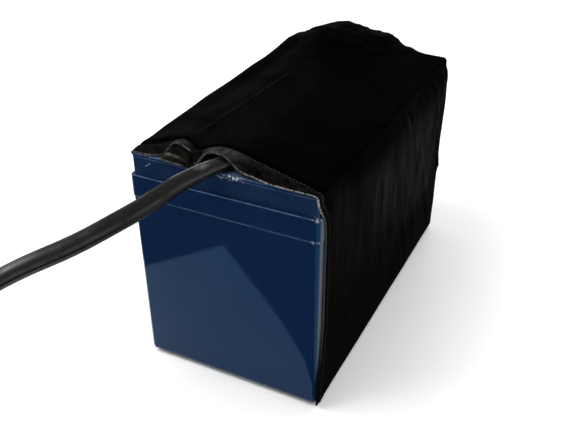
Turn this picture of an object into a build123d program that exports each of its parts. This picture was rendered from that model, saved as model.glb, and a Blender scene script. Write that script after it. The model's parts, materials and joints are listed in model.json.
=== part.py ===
"""12 V sealed lead-acid battery pack: a 330 x 172 x 208 mm moulded case in a sewn
slip-on sleeve, with a flat twin output cable that ends in a two-pole connector.

Frame: millimetres, +Z up, the bare end of the case faces -Y, and the origin is
the bottom centre of the sleeved battery (the free cable is left out of that).
"""
import os
from math import tan, radians

from build123d import *

# ---------------------------------------------------------------- driving sizes
case_width = 172.0  # X, over the lid skirt
case_length = 330.0  # Y, over the lid skirt
case_height = 208.0  # foot to lid top

fabric = 1.5  # sleeve cloth, lining and seam together
ease = 0.5  # room between the sleeve and the case
mouth_overhang = 2.0  # the sleeve's mouth stands this far past the bare end
mouth_curve = 8.0  # the mouth's sides curve back by this much
mouth_curve_z = 118.0  # at this height
bottom_setback = 5.0  # the bottom panel stops this far behind the bare end
fold_depth = 22.0  # surplus cloth folded over behind the case
fold_rise = 23.0  # and standing this far above the lid
fold_width = 116.0
fold_x = -82.0  # the fold's left end
fold_foot = 105.0  # height of its lowest and its fullest point
fold_shoulder = 150.0

# case and lid
case_wall = 4.0
partition = 3.0
cell_count = 6
body_inset = 0.5  # the body is this much inside the lid skirt, each side
body_taper = 0.15  # degrees of draft
corner_radius = 4.0
inner_radius = 2.0  # inside corners of the cells and the lid
foot_fillet = 5.0
band_inset = 2.5  # the lid's upper band is this much inside the skirt
upper_band = 19.0  # height of the lid's upper band
skirt_band = 20.0  # height of the skirt under it
tongue = 16.0  # the case wall runs this far up inside the skirt
tongue_inset = 2.1
tongue_room = 0.1  # the skirt's groove is this much wider, each side
roof = 4.0  # lid roof

# plates
plate_width = 154.0
plate_height = 150.0
negative_thickness = 2.4
positive_thickness = 3.2
plate_pitch = 9.6
positive_count = 5  # plates in one cell
negative_count = 6
plate_clearance = 2.0  # plates stand this far above the case's floor
separator_thickness = 1.9
separator_margin = 2.0  # separators reach this far past the plates
plate_lug_width = 14.0
plate_lug_height = 4.0
strap_x = 58.0  # plate straps stand this far off the middle
strap_width = 30.0
strap_height = 6.0
upright_width = 24.0
upright_thickness = 4.0
upright_height = 16.0
upright_gap = 0.2  # between an upright and its partition
nugget_diameter = 12.0  # weld through a partition
nugget_rise = 8.0  # weld's axis above the straps
post_diameter = 14.0
post_height = 12.0

# terminals
terminal_diameter = 18.0
terminal_flange = 23.0
flange_depth = 11.5  # the flange's top, below the terminal's face
flange_thickness = 5.0
terminal_bore = 15.0  # depth of the threaded bore
seal_diameter = 24.0
seal_height = 4.0
terminal_proud = 1.5  # above the pocket floor
pocket_depth = 7.0
pocket_size = 34.0
pocket_radius = 3.0
boss_wall = 4.0  # round the pockets and their slots
boss_diameter = 30.0  # holds the terminal's flange under a pocket
boss_height = 9.0
slot_width = 12.0
slot_reach = 51.0  # end of the lead slot, from the terminal's axis
bolt_diameter = 8.0
bolt_head = 5.3
bolt_flats = 13.0
bolt_length = 18.0
bolt_hole = 8.4  # in lugs and washers
flat_washer = 1.6
flat_washer_diameter = 16.0
spring_washer = 2.0
spring_washer_diameter = 13.0
lug_thickness = 2.5
lug_pad = 16.0
lug_neck = 8.0
barrel_diameter = 8.0
barrel_bore = 5.6
barrel_start = 9.5  # from the terminal's axis
barrel_length = 12.0
barrel_floor = 3.0
barrel_rise = 4.0  # barrel's axis above the lug's seat
tube_start = 13.0  # insulating tube over each barrel
tube_diameter = 9.8
tube_length = 17.0

# valves
valve_x = 46.0
trough_width = 26.0
trough_length = 296.0
trough_depth = 14.0
trough_floor = 4.0
cover_margin = 5.0  # the cover reaches this far past the trough
cover_thickness = 3.0
cover_seat = 3.2  # depth of the cover's recess
cover_room = 0.2
peg_diameter = 12.0  # pegs under the cover hold the valves down
peg_height = 2.2
vent_slot = (16.0, 3.0)  # openings in the cover
neck_diameter = 16.0
neck_bore = 10.0
neck_height = 6.0
valve_diameter = 20.0
valve_height = 7.0
valve_overlap = 4.5  # the valve's skirt reaches this far down its neck

# cable
cable_width = 15.0
cable_thickness = 9.5
lead_diameter = 5.6
lead_lift = 0.25  # air under the leads
cable_lift = 0.05  # and under the cable
lead_half_pitch = 3.25
cable_x = -6.0  # where the cable crosses the bare end's edge
lid_run = 40.0  # length of cable on the lid, up to the split boot
boot_length = 22.0
boot_height = 9.8
boot_lift = 0.15
boot_widths = (16.5, 18.5)  # at the cable and at the leads

# connector
housing_length = 50.0
housing_width = 34.0
housing_height = 17.0
relief_length = 18.0  # strain relief between the cable and the housing
recess = 16.0
contact_pitch = 15.0

# ---------------------------------------------------------------- derived places
depth = case_length + mouth_overhang + ease + fabric + fold_depth
front_y = -depth / 2 + mouth_overhang  # the bare end of the case
rear_y = front_y + case_length
mid_y = front_y + case_length / 2
foot_z = fabric + ease
lid_z = foot_z + case_height
skirt_top = lid_z - upper_band
skirt_foot = skirt_top - skirt_band
tongue_top = skirt_foot + tongue

cell_width = case_width - 2 * body_inset - 2 * case_wall
cell_length = case_length - 2 * body_inset - 2 * case_wall - (cell_count - 1) * partition
cell_length = cell_length / cell_count
cell_pitch = cell_length + partition
cells = [mid_y + (k - (cell_count - 1) / 2) * cell_pitch for k in range(cell_count)]

plate_foot = foot_z + case_wall + plate_clearance
plate_top = plate_foot + plate_height
strap_z = plate_top + plate_lug_height
strap_top = strap_z + strap_height
nugget_z = strap_top + nugget_rise
post_top = strap_top + post_height

pocket_z = lid_z - pocket_depth
face_z = pocket_z + terminal_proud  # top of the terminals
washer_z = face_z + lug_thickness
spring_z = washer_z + flat_washer
head_z = spring_z + spring_washer
barrel_z = face_z + barrel_rise
flange_top = face_z - flange_depth
boss_foot = pocket_z - roof - boss_height
trough_z = lid_z - trough_depth
neck_top = trough_z + neck_height
lead_z = lid_z + lead_diameter / 2 + lead_lift

cable_z = lid_z + cable_thickness / 2 + cable_lift
inner_z = lid_z + ease  # underside of the sleeve's top
inner_x = case_width / 2 + ease
outer_x = inner_x + fabric
panel_front = front_y - mouth_overhang
panel_back = rear_y + ease
bottom_front = front_y + bottom_setback

os.makedirs("parts", exist_ok=True)


def write(piece, name):
    """Label one finished piece and write its STEP file."""
    piece.part.label = name
    export_step(piece.part, f"parts/{name}.step")


# ---------------------------------------------------------------- case
with BuildPart() as container:
    with BuildSketch(Plane.XY.offset(skirt_foot)):
        with Locations((0, mid_y)):
            RectangleRounded(
                case_width - 2 * body_inset, case_length - 2 * body_inset, corner_radius
            )
    extrude(amount=foot_z - skirt_foot, taper=body_taper)
    fillet(container.faces().sort_by(Axis.Z)[0].edges(), foot_fillet)
    with BuildSketch(Plane.XY.offset(skirt_foot)):
        with Locations((0, mid_y)):
            RectangleRounded(
                case_width - 2 * tongue_inset,
                case_length - 2 * tongue_inset,
                corner_radius - tongue_inset,
            )
    extrude(amount=tongue)
    with BuildSketch(Plane.XY.offset(foot_z + case_wall)):
        with Locations((0, mid_y)):
            with GridLocations(0, cell_pitch, 1, cell_count):
                RectangleRounded(cell_width, cell_length, inner_radius)
    extrude(amount=tongue_top - foot_z - case_wall, mode=Mode.SUBTRACT)
    for k in range(cell_count - 1):
        side = 1 if k % 2 == 0 else -1
        wall_y = cells[k] + cell_pitch / 2
        with BuildSketch(Plane.XZ.offset(-wall_y)):
            with Locations((side * strap_x, nugget_z)):
                Circle(nugget_diameter / 2)
        extrude(amount=partition, both=True, mode=Mode.SUBTRACT)
write(container, "container")

# ---------------------------------------------------------------- lid
terminals = [(-strap_x, cells[0], 1), (-strap_x, cells[-1], -1)]  # x, y, way the lug points

with BuildPart() as case_lid:
    with BuildSketch(Plane.XY.offset(skirt_foot)):
        with Locations((0, mid_y)):
            RectangleRounded(case_width, case_length, corner_radius)
    extrude(amount=skirt_band)
    fillet(case_lid.faces().sort_by(Axis.Z)[-1].edges(), 0.8)
    with BuildSketch(Plane.XY.offset(skirt_top)):
        with Locations((0, mid_y)):
            RectangleRounded(
                case_width - 2 * band_inset, case_length - 2 * band_inset, corner_radius - 1.5
            )
    extrude(amount=upper_band)
    fillet(case_lid.faces().sort_by(Axis.Z)[-1].edges(), 1.2)
    # hollow: the skirt over the tongue, then the space over the cells
    with BuildSketch(Plane.XY.offset(skirt_foot)):
        with Locations((0, mid_y)):
            RectangleRounded(
                case_width - 2 * (tongue_inset - tongue_room),
                case_length - 2 * (tongue_inset - tongue_room),
                corner_radius - tongue_inset,
            )
    extrude(amount=tongue, mode=Mode.SUBTRACT)
    with BuildSketch(Plane.XY.offset(tongue_top)):
        with Locations((0, mid_y)):
            RectangleRounded(
                case_width - 2 * band_inset - 2 * case_wall,
                case_length - 2 * band_inset - 2 * case_wall,
                inner_radius,
            )
    extrude(amount=lid_z - roof - tongue_top, mode=Mode.SUBTRACT)
    # ribs that close the cells off from each other
    with BuildSketch(Plane.XY.offset(tongue_top)):
        with Locations((0, mid_y)):
            with GridLocations(0, cell_pitch, 1, cell_count - 1):
                Rectangle(case_width - 2 * band_inset - case_wall, partition)
    extrude(amount=lid_z - roof - tongue_top)
    # boxes that carry the terminal pockets, their lead slots and the valve trough
    for tx, ty, way in terminals:
        with BuildSketch(Plane.XY.offset(pocket_z - roof)):
            with Locations((tx, ty)):
                Rectangle(pocket_size + 2 * boss_wall, pocket_size + 2 * boss_wall)
            with Locations((tx, ty + way * slot_reach / 2)):
                Rectangle(slot_width + 2 * boss_wall, slot_reach + 2 * boss_wall)
        extrude(amount=pocket_depth)
        with BuildSketch(Plane.XY.offset(boss_foot)):
            with Locations((tx, ty)):
                Circle(boss_diameter / 2)
        extrude(amount=boss_height)
    with BuildSketch(Plane.XY.offset(trough_z - trough_floor)):
        with Locations((valve_x, mid_y)):
            Rectangle(
                trough_width + 2 * cover_margin + 2 * boss_wall,
                trough_length + 2 * cover_margin + 2 * boss_wall,
            )
    extrude(amount=trough_depth)
    for tx, ty, way in terminals:
        with BuildSketch(Plane.XY.offset(pocket_z)):
            with Locations((tx, ty)):
                RectangleRounded(pocket_size, pocket_size, pocket_radius)
            with Locations((tx, ty + way * slot_reach / 2)):
                Rectangle(slot_width, slot_reach)
        extrude(amount=pocket_depth, mode=Mode.SUBTRACT)
        with BuildSketch(Plane.XY.offset(pocket_z)):
            with Locations((tx, ty)):
                Circle(terminal_diameter / 2 + 0.1)
        extrude(amount=boss_foot - pocket_z, mode=Mode.SUBTRACT)
        with BuildSketch(Plane.XY.offset(boss_foot)):
            with Locations((tx, ty)):
                Circle(seal_diameter / 2 + 0.1)
        extrude(amount=boss_height - 1, mode=Mode.SUBTRACT)
    with BuildSketch(Plane.XY.offset(trough_z)):
        with Locations((valve_x, mid_y)):
            Rectangle(trough_width, trough_length)
    extrude(amount=trough_depth, mode=Mode.SUBTRACT)
    with BuildSketch(Plane.XY.offset(lid_z - cover_seat)):
        with Locations((valve_x, mid_y)):
            RectangleRounded(
                trough_width + 2 * (cover_margin + cover_room),
                trough_length + 2 * (cover_margin + cover_room),
                pocket_radius,
            )
    extrude(amount=cover_seat, mode=Mode.SUBTRACT)
    with BuildSketch(Plane.XY.offset(trough_z)):
        with Locations(*[(valve_x, y) for y in cells]):
            Circle(neck_diameter / 2)
    extrude(amount=neck_height)
    with BuildSketch(Plane.XY.offset(neck_top)):
        with Locations(*[(valve_x, y) for y in cells]):
            Circle(neck_bore / 2)
    extrude(amount=-neck_height - trough_floor, mode=Mode.SUBTRACT)
write(case_lid, "case_lid")

with BuildPart() as valve_cover:
    with BuildSketch(Plane.XY.offset(lid_z - cover_seat)):
        with Locations((valve_x, mid_y)):
            RectangleRounded(
                trough_width + 2 * cover_margin, trough_length + 2 * cover_margin, pocket_radius
            )
    extrude(amount=cover_thickness)
    chamfer(valve_cover.faces().sort_by(Axis.Z)[-1].edges(), 0.5)
    with BuildSketch(Plane.XY.offset(lid_z - cover_seat)):
        with Locations(*[(valve_x, y) for y in cells]):
            Circle(peg_diameter / 2)
    extrude(amount=-peg_height)
    with BuildSketch(Plane.XY.offset(lid_z - cover_seat)):
        with Locations(*[(valve_x, y + cell_pitch / 2) for y in cells[:-1]]):
            SlotOverall(*vent_slot)
    extrude(amount=cover_thickness, mode=Mode.SUBTRACT)
write(valve_cover, "valve_cover")

for k, y in enumerate(cells):
    with BuildPart() as relief_valve:
        with BuildSketch(Plane.XY.offset(neck_top - valve_overlap)):
            with Locations((valve_x, y)):
                Circle(valve_diameter / 2)
        extrude(amount=valve_height)
        fillet(relief_valve.faces().sort_by(Axis.Z)[-1].edges(), 1)
        with BuildSketch(Plane.XY.offset(neck_top - valve_overlap)):
            with Locations((valve_x, y)):
                Circle(neck_diameter / 2 + 0.02)
        extrude(amount=valve_overlap + 0.1, mode=Mode.SUBTRACT)
    write(relief_valve, f"relief_valve_{k + 1}")


# ---------------------------------------------------------------- plate groups
def plate_group(k, positive):
    """One polarity's plates in cell k, joined by a cast strap above them."""
    y = cells[k]
    # positive straps stand left in odd cells, and every group meets its neighbour
    left = positive == (k % 2 == 0)
    side = -1 if left else 1
    thickness = positive_thickness if positive else negative_thickness
    count = positive_count if positive else negative_count
    with BuildPart() as group:
        with BuildSketch(Plane.XY.offset(plate_foot)):
            with Locations((0, y)):
                with GridLocations(0, plate_pitch, 1, count):
                    Rectangle(plate_width, thickness)
        extrude(amount=plate_height)
        with BuildSketch(Plane.XY.offset(plate_top)):
            with Locations((side * strap_x, y)):
                with GridLocations(0, plate_pitch, 1, count):
                    Rectangle(plate_lug_width, thickness)
        extrude(amount=plate_lug_height)
        with BuildSketch(Plane.XY.offset(strap_z)):
            with Locations((side * strap_x, y)):
                Rectangle(strap_width, cell_length - 2)
        extrude(amount=strap_height)
        # the upright that is welded through the partition to the next cell
        neighbour = k + 1 if (k % 2 == 0) == (side == 1) else k - 1
        if 0 <= neighbour < cell_count:
            way = neighbour - k
            upright_y = y + way * (cell_length / 2 - upright_thickness / 2 - upright_gap)
            with BuildSketch(Plane.XY.offset(strap_top)):
                with Locations((side * strap_x, upright_y)):
                    Rectangle(upright_width, upright_thickness)
            extrude(amount=upright_height)
    return group


for k in range(cell_count):
    write(plate_group(k, True), f"positive_plates_{k + 1}")
    write(plate_group(k, False), f"negative_plates_{k + 1}")
    gap = (plate_pitch - negative_thickness - positive_thickness) / 4
    gap_middle = negative_thickness / 2 + gap
    first_negative = cells[k] - (negative_count - 1) / 2 * plate_pitch
    with BuildPart() as separators:
        with BuildSketch(Plane.XY.offset(plate_foot - separator_margin / 2)):
            for j in range(positive_count):
                left_gap = first_negative + j * plate_pitch + gap_middle
                right_gap = first_negative + (j + 1) * plate_pitch - gap_middle
                with Locations((0, left_gap), (0, right_gap)):
                    Rectangle(plate_width + 2 * separator_margin, separator_thickness)
        extrude(amount=plate_height + 2 * separator_margin)
    write(separators, f"separators_{k + 1}")

for k in range(cell_count - 1):
    side = 1 if k % 2 == 0 else -1
    wall_y = cells[k] + cell_pitch / 2
    with BuildPart() as connector:
        with BuildSketch(Plane.XZ.offset(-wall_y)):
            with Locations((side * strap_x, nugget_z)):
                Circle(nugget_diameter / 2 - 0.05)
        extrude(amount=partition / 2 + upright_gap, both=True)
    write(connector, f"intercell_connector_{k + 1}")

# ---------------------------------------------------------------- terminals
names = ["positive", "negative"]

for name, (tx, ty, way) in zip(names, terminals):
    with BuildPart() as end_post:
        with BuildSketch(Plane.XY.offset(strap_top)):
            with Locations((tx, ty)):
                Circle(post_diameter / 2)
        extrude(amount=post_height)
    write(end_post, f"{name}_end_post")

    with BuildPart() as terminal:
        for start, stop, diameter in (
            (post_top, flange_top - flange_thickness, post_diameter),
            (flange_top - flange_thickness, flange_top, terminal_flange),
            (flange_top, face_z, terminal_diameter),
        ):
            with BuildSketch(Plane.XY.offset(start)):
                with Locations((tx, ty)):
                    Circle(diameter / 2)
            extrude(amount=stop - start)
        with BuildSketch(Plane.XY.offset(face_z)):
            with Locations((tx, ty)):
                Circle(bolt_diameter / 2 + 0.05)
        extrude(amount=-terminal_bore, mode=Mode.SUBTRACT)
    write(terminal, f"{name}_terminal")

    with BuildPart() as lug:
        with BuildSketch(Plane.XY.offset(face_z)):
            with Locations((tx, ty)):
                Circle(lug_pad / 2)
            with Locations((tx, ty + way * (barrel_start + 2.5) / 2)):
                Rectangle(lug_neck, barrel_start + 2.5)
            with Locations((tx, ty)):
                Circle(bolt_hole / 2, mode=Mode.SUBTRACT)
        extrude(amount=lug_thickness)
        with BuildSketch(Plane.XZ.offset(-(ty + way * barrel_start))):
            with Locations((tx, barrel_z)):
                Circle(barrel_diameter / 2)
        extrude(amount=-way * barrel_length)
        with BuildSketch(Plane.XZ.offset(-(ty + way * (barrel_start + barrel_floor)))):
            with Locations((tx, barrel_z)):
                Circle(barrel_bore / 2)
        extrude(amount=-way * (barrel_length - barrel_floor), mode=Mode.SUBTRACT)
    write(lug, f"{name}_lug")

    with BuildPart() as lug_sleeve:
        with BuildSketch(Plane.XZ.offset(-(ty + way * tube_start))):
            with Locations((tx, barrel_z)):
                Circle(tube_diameter / 2)
                Circle(barrel_diameter / 2 + 0.03, mode=Mode.SUBTRACT)
        extrude(amount=-way * tube_length)
    write(lug_sleeve, f"{name}_lug_sleeve")

with BuildPart() as terminal_seals:
    with BuildSketch(Plane.XY.offset(flange_top + 0.05)):
        with Locations(*[(tx, ty) for tx, ty, way in terminals]):
            Circle(seal_diameter / 2)
            Circle(terminal_diameter / 2 + 0.05, mode=Mode.SUBTRACT)
    extrude(amount=seal_height)
write(terminal_seals, "terminal_seals")

with BuildPart() as terminal_bolts:
    with BuildSketch(Plane.XY.offset(head_z)):
        with Locations(*[(tx, ty) for tx, ty, way in terminals]):
            RegularPolygon(bolt_flats / 2, 6, major_radius=False)
    extrude(amount=bolt_head)
    with BuildSketch(Plane.XY.offset(head_z)):
        with Locations(*[(tx, ty) for tx, ty, way in terminals]):
            Circle(bolt_diameter / 2 - 0.05)
    extrude(amount=-bolt_length)
write(terminal_bolts, "terminal_bolts")

with BuildPart() as flat_washers:
    with BuildSketch(Plane.XY.offset(washer_z)):
        with Locations(*[(tx, ty) for tx, ty, way in terminals]):
            Circle(flat_washer_diameter / 2)
            Circle(bolt_hole / 2, mode=Mode.SUBTRACT)
    extrude(amount=flat_washer)
write(flat_washers, "flat_washers")

with BuildPart() as spring_washers:
    with BuildSketch(Plane.XY.offset(spring_z)):
        with Locations(*[(tx, ty) for tx, ty, way in terminals]):
            Circle(spring_washer_diameter / 2)
            Circle(bolt_hole / 2, mode=Mode.SUBTRACT)
        with Locations(*[(tx + spring_washer_diameter / 2, ty) for tx, ty, way in terminals]):
            Rectangle(6, 1, mode=Mode.SUBTRACT)
    extrude(amount=spring_washer)
write(spring_washers, "spring_washers")

# ---------------------------------------------------------------- free cable's route
# From the bare end's top edge, over the front and down to the floor.
cable_route = [
    (cable_x, front_y, cable_z),
    (-18, front_y - 24, lid_z + 2.4),
    (-30, front_y - 47, lid_z - 7.6),
    (-52, front_y - 68, lid_z - 20),
    (-79, front_y - 83, lid_z - 38.5),
    (-118, front_y - 101, lid_z - 57.5),
    (-152, front_y - 114, lid_z - 81.5),
    (-178, front_y - 139, 93),
    (-194, front_y - 166, 62),
    (-202, front_y - 197, 35),
    (-205, front_y - 230, 15),
    (-204, front_y - 264, cable_thickness / 2 + cable_lift),
    (-200, front_y - 296, 5.2),
    (-200, front_y - 327, housing_height / 2 + 0.1),
]

# ---------------------------------------------------------------- leads on the lid
# The cable comes over the lid at the heading of its first free run.
exit_point = Vector(*cable_route[0])
back = Vector(cable_x - cable_route[1][0], front_y - cable_route[1][1], 0).normalized()
across = Vector(back.Y, -back.X, 0)
boot_start = exit_point + back * lid_run
boot_back = boot_start + back * boot_length
core_drop = Vector(0, 0, lead_z - cable_z)
left_core = boot_back - across * lead_half_pitch + core_drop
right_core = boot_back + across * lead_half_pitch + core_drop
lug_reach = barrel_start + barrel_length
front_lug_end = cells[0] + lug_reach
rear_lug_end = cells[-1] - lug_reach

lead_routes = {
    "positive": (
        [
            (-strap_x, front_lug_end, barrel_z),
            (-strap_x, front_lug_end + 9, barrel_z),
            (-strap_x, front_lug_end + 27.5, lead_z),
            (-strap_x, front_y + 92, lead_z),
            (-45, front_y + 105, lead_z),
            (17, front_y + 105, lead_z),
            tuple(left_core + back * 27),
            tuple(left_core),
        ],
        [16, 16, 14, 14, 16, 16],
    ),
    "negative": (
        [
            (-strap_x, rear_lug_end, barrel_z),
            (-strap_x, rear_lug_end - 9, barrel_z),
            (-strap_x, rear_lug_end - 27.5, lead_z),
            (-47, rear_lug_end - 58, lead_z),
            (-47, front_y + 130, lead_z),
            (-30, front_y + 113, lead_z),
            (21, front_y + 113, lead_z),
            tuple(right_core + back * 33),
            tuple(right_core),
        ],
        [20, 20, 30, 18, 18, 16, 16],
    ),
}

for name, (points, bends) in lead_routes.items():
    start = Vector(*points[0])
    heading = Vector(*points[1]) - start
    with BuildPart() as lead:
        with BuildLine() as lead_line:
            FilletPolyline(*points, radius=bends)
        with BuildSketch(Plane(origin=start, z_dir=heading)):
            Circle(lead_diameter / 2)
        sweep(path=lead_line.wire())
    write(lead, f"{name}_lead")

lid_plane = Plane(origin=exit_point, x_dir=across, z_dir=-back)

with BuildPart() as split_boot:
    with BuildSketch(lid_plane.offset(-lid_run)):
        with Locations((0, boot_lift)):
            SlotOverall(boot_widths[0], boot_height)
    with BuildSketch(lid_plane.offset(-lid_run - boot_length)):
        with Locations((0, boot_lift)):
            SlotOverall(boot_widths[1], boot_height)
    loft()
write(split_boot, "split_boot")

with BuildPart() as lid_cable:
    with BuildSketch(lid_plane):
        SlotOverall(cable_width, cable_thickness)
    extrude(amount=-lid_run)
write(lid_cable, "lid_cable")

# ---------------------------------------------------------------- free cable
route = [Vector(*point) for point in cable_route]
cable_radii = []
for before, corner, after in zip(route, route[1:], route[2:]):
    inward = corner - before
    outward = after - corner
    shorter = min(inward.length, outward.length)
    turn = inward.get_angle(outward)
    cable_radii.append(0.45 * shorter / tan(radians(turn / 2)))
print("cable radii, mm:", [round(radius) for radius in cable_radii])

with BuildPart() as output_cable:
    with BuildLine() as cable_line:
        FilletPolyline(*route, radius=cable_radii)
    first_run = route[1] - route[0]
    with BuildSketch(Plane(origin=route[0], x_dir=across, z_dir=first_run)) as cable_section:
        SlotOverall(cable_width, cable_thickness)
    sweep(path=cable_line.wire())
write(output_cable, "output_cable")
swept = cable_section.sketch.area * cable_line.wire().length
print("cable length, mm:", round(cable_line.wire().length), "volume ratio:",
      round(output_cable.part.volume / swept, 3))

# ---------------------------------------------------------------- connector
# Local axes: +X across, +Y up, +Z the way the mating half comes off.
plug = Plane(origin=route[-1], x_dir=(1, 0, 0), z_dir=(0, -1, 0))
mating_z = relief_length + housing_length
groove_count = 5
pin_length = 18.0
blade_start = relief_length + 20
blade_end = mating_z - 7

with BuildPart() as connector_boot:
    with BuildSketch(plug):
        SlotOverall(cable_width + 1.5, cable_thickness + 1.5)
    with BuildSketch(plug.offset(relief_length)):
        RectangleRounded(26, 14, 5)
    loft()
write(connector_boot, "connector_boot")

with BuildPart() as connector_housing:
    with BuildSketch(plug.offset(relief_length)):
        RectangleRounded(housing_width, housing_height, 3)
    extrude(amount=housing_length)
    chamfer(connector_housing.faces().sort_by(Axis.Y)[0].edges(), 0.8)
    with BuildSketch(plug.offset(mating_z)):
        RectangleRounded(27, 10, 1.5)
    extrude(amount=-recess, mode=Mode.SUBTRACT)
    with BuildSketch(plug.offset(relief_length)):
        with GridLocations(contact_pitch, 1, 2, 1):
            Rectangle(10, 7.6)
    extrude(amount=housing_length - recess, mode=Mode.SUBTRACT)
    # finger grooves down both edges
    for groove in range(groove_count):
        with BuildSketch(plug.offset(relief_length + 8 + groove * 5)):
            with GridLocations(housing_width, 1, 2, 1):
                Rectangle(2, housing_height)
        extrude(amount=2.2, mode=Mode.SUBTRACT)
write(connector_housing, "connector_housing")

with BuildPart() as connector_contacts:
    with BuildSketch(plug.offset(relief_length + 2)):
        with GridLocations(contact_pitch, 1, 2, 1):
            Circle(3.2)
    extrude(amount=pin_length)
    with BuildSketch(plug.offset(blade_start)):
        with GridLocations(contact_pitch, 1, 2, 1):
            Rectangle(8, 2)
    extrude(amount=blade_end - blade_start)
    chamfer(connector_contacts.faces().sort_by(Axis.Y)[:2].edges(), 0.4)
write(connector_contacts, "connector_contacts")

with BuildPart() as contact_springs:
    with BuildSketch(plug.offset(blade_start + 2)):
        with Locations((-contact_pitch / 2, -3.2), (contact_pitch / 2, -3.2)):
            Rectangle(6, 0.7)
    extrude(amount=12)
write(contact_springs, "contact_springs")

# ---------------------------------------------------------------- sleeve
# One profile serves the whole length, so the sleeve draws off the case rearwards
# over the leads, the bolts and the cable.
over_bolts = lid_z + 7
over_cable = lid_z + 10.6
under_points = [
    (-inner_x, inner_z),
    (-80, inner_z),
    (-69, over_bolts),
    (-27, over_bolts),
    (-19, over_cable),
    (38, over_cable),
    (60, inner_z),
    (inner_x, inner_z),
]
over_points = [(x, z + fabric) for x, z in under_points]
over_points[0] = (-outer_x, inner_z + fabric)
over_points[-1] = (outer_x, inner_z + fabric)


def roof_line(points):
    """The sleeve's top in section, with soft bends."""
    return FilletPolyline(*points, radius=5)


with BuildPart() as sleeve_top:
    with BuildSketch(Plane.XZ.offset(-panel_front)):
        with BuildLine():
            roof_line([(-outer_x, inner_z)] + under_points[1:-1] + [(outer_x, inner_z)])
            roof_line(over_points)
            Line((-outer_x, inner_z), over_points[0])
            Line((outer_x, inner_z), over_points[-1])
        make_face()
    extrude(amount=panel_front - panel_back)
write(sleeve_top, "sleeve_top")

for name, x in (("sleeve_left", -outer_x), ("sleeve_right", inner_x)):
    with BuildPart() as side_panel:
        with BuildSketch(Plane.YZ.offset(x)):
            with BuildLine():
                Polyline(
                    (panel_front, fabric),
                    (panel_back, fabric),
                    (panel_back, inner_z),
                    (panel_front, inner_z),
                )
                ThreePointArc(
                    (panel_front, inner_z),
                    (panel_front + mouth_curve, mouth_curve_z),
                    (panel_front, fabric),
                )
            make_face()
        extrude(amount=fabric)
    write(side_panel, name)

with BuildPart() as sleeve_bottom:
    with BuildSketch(Plane.XY):
        with Locations((0, (bottom_front + panel_back) / 2)):
            Rectangle(2 * outer_x, panel_back - bottom_front)
    extrude(amount=fabric)
write(sleeve_bottom, "sleeve_bottom")

with BuildPart() as sleeve_rear:
    with BuildSketch(Plane.XZ.offset(-panel_back)):
        with BuildLine():
            roof_line(over_points)
            Polyline(over_points[0], (-outer_x, 0), (outer_x, 0), over_points[-1])
        make_face()
    extrude(amount=-fabric)
write(sleeve_rear, "sleeve_rear")

fold_y = panel_back + fabric
fold_back = fold_y + fold_depth
fold_top = lid_z + fold_rise
with BuildPart() as sleeve_rear_fold:
    with BuildSketch(Plane.YZ.offset(fold_x)):
        with BuildLine():
            FilletPolyline(
                (fold_y, fold_foot),
                (fold_back, fold_shoulder),
                (fold_back, fold_top),
                (fold_y, fold_top),
                radius=20,
            )
            Line((fold_y, fold_top), (fold_y, fold_foot))
        make_face()
    extrude(amount=fold_width)
write(sleeve_rear_fold, "sleeve_rear_fold")
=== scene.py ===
"""Looks of the sleeved battery pack. Metres, in the CAD frame: +Z up, the bare end faces -Y."""
import json
import math

import bpy
import numpy as np
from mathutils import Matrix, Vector, noise


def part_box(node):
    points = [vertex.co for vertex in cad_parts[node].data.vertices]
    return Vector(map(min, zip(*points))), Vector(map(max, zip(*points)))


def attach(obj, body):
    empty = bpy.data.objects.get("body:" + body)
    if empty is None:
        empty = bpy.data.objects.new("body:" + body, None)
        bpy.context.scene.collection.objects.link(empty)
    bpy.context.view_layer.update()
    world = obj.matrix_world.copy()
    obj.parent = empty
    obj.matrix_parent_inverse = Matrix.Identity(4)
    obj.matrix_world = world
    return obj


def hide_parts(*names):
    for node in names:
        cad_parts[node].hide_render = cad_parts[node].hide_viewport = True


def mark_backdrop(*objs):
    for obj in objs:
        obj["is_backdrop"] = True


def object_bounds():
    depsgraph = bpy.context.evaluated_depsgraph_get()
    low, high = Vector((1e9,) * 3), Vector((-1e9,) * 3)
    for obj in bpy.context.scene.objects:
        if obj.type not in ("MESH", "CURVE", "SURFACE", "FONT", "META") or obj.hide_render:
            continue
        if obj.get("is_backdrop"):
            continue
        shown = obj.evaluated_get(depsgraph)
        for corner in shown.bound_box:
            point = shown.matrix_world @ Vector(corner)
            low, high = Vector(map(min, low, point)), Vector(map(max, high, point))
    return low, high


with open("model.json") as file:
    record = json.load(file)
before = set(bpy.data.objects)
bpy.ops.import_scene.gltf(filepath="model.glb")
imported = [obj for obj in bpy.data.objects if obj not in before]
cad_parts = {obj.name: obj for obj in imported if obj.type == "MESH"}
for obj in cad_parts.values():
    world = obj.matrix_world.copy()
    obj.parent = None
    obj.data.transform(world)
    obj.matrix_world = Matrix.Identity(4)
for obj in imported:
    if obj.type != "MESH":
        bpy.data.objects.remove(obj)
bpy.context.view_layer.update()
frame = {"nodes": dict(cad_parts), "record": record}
nodes = frame["nodes"]
scene = bpy.context.scene
MM = 0.001

# ---------------------------------------------------------------- places from the frame
lid_low, lid_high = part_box("case_lid")
front_y = lid_low.y
rear_y = lid_high.y
lid_z = lid_high.z
half_width = lid_high.x
upper_step = lid_z - 19 * MM  # the lid's two outward steps
lower_step = lid_z - 39 * MM

CABLE_WIDTH = 15.2 * MM
CABLE_THICKNESS = 9.2 * MM  # at the crown of its two wide faces
CABLE_CROWN = 0.7 * MM
CABLE_EDGE = 2.4 * MM  # radius of the jacket's four long edges
CABLE_LIES = CABLE_THICKNESS / 2 + 0.05 * MM  # its middle's height over what it lies on

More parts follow.
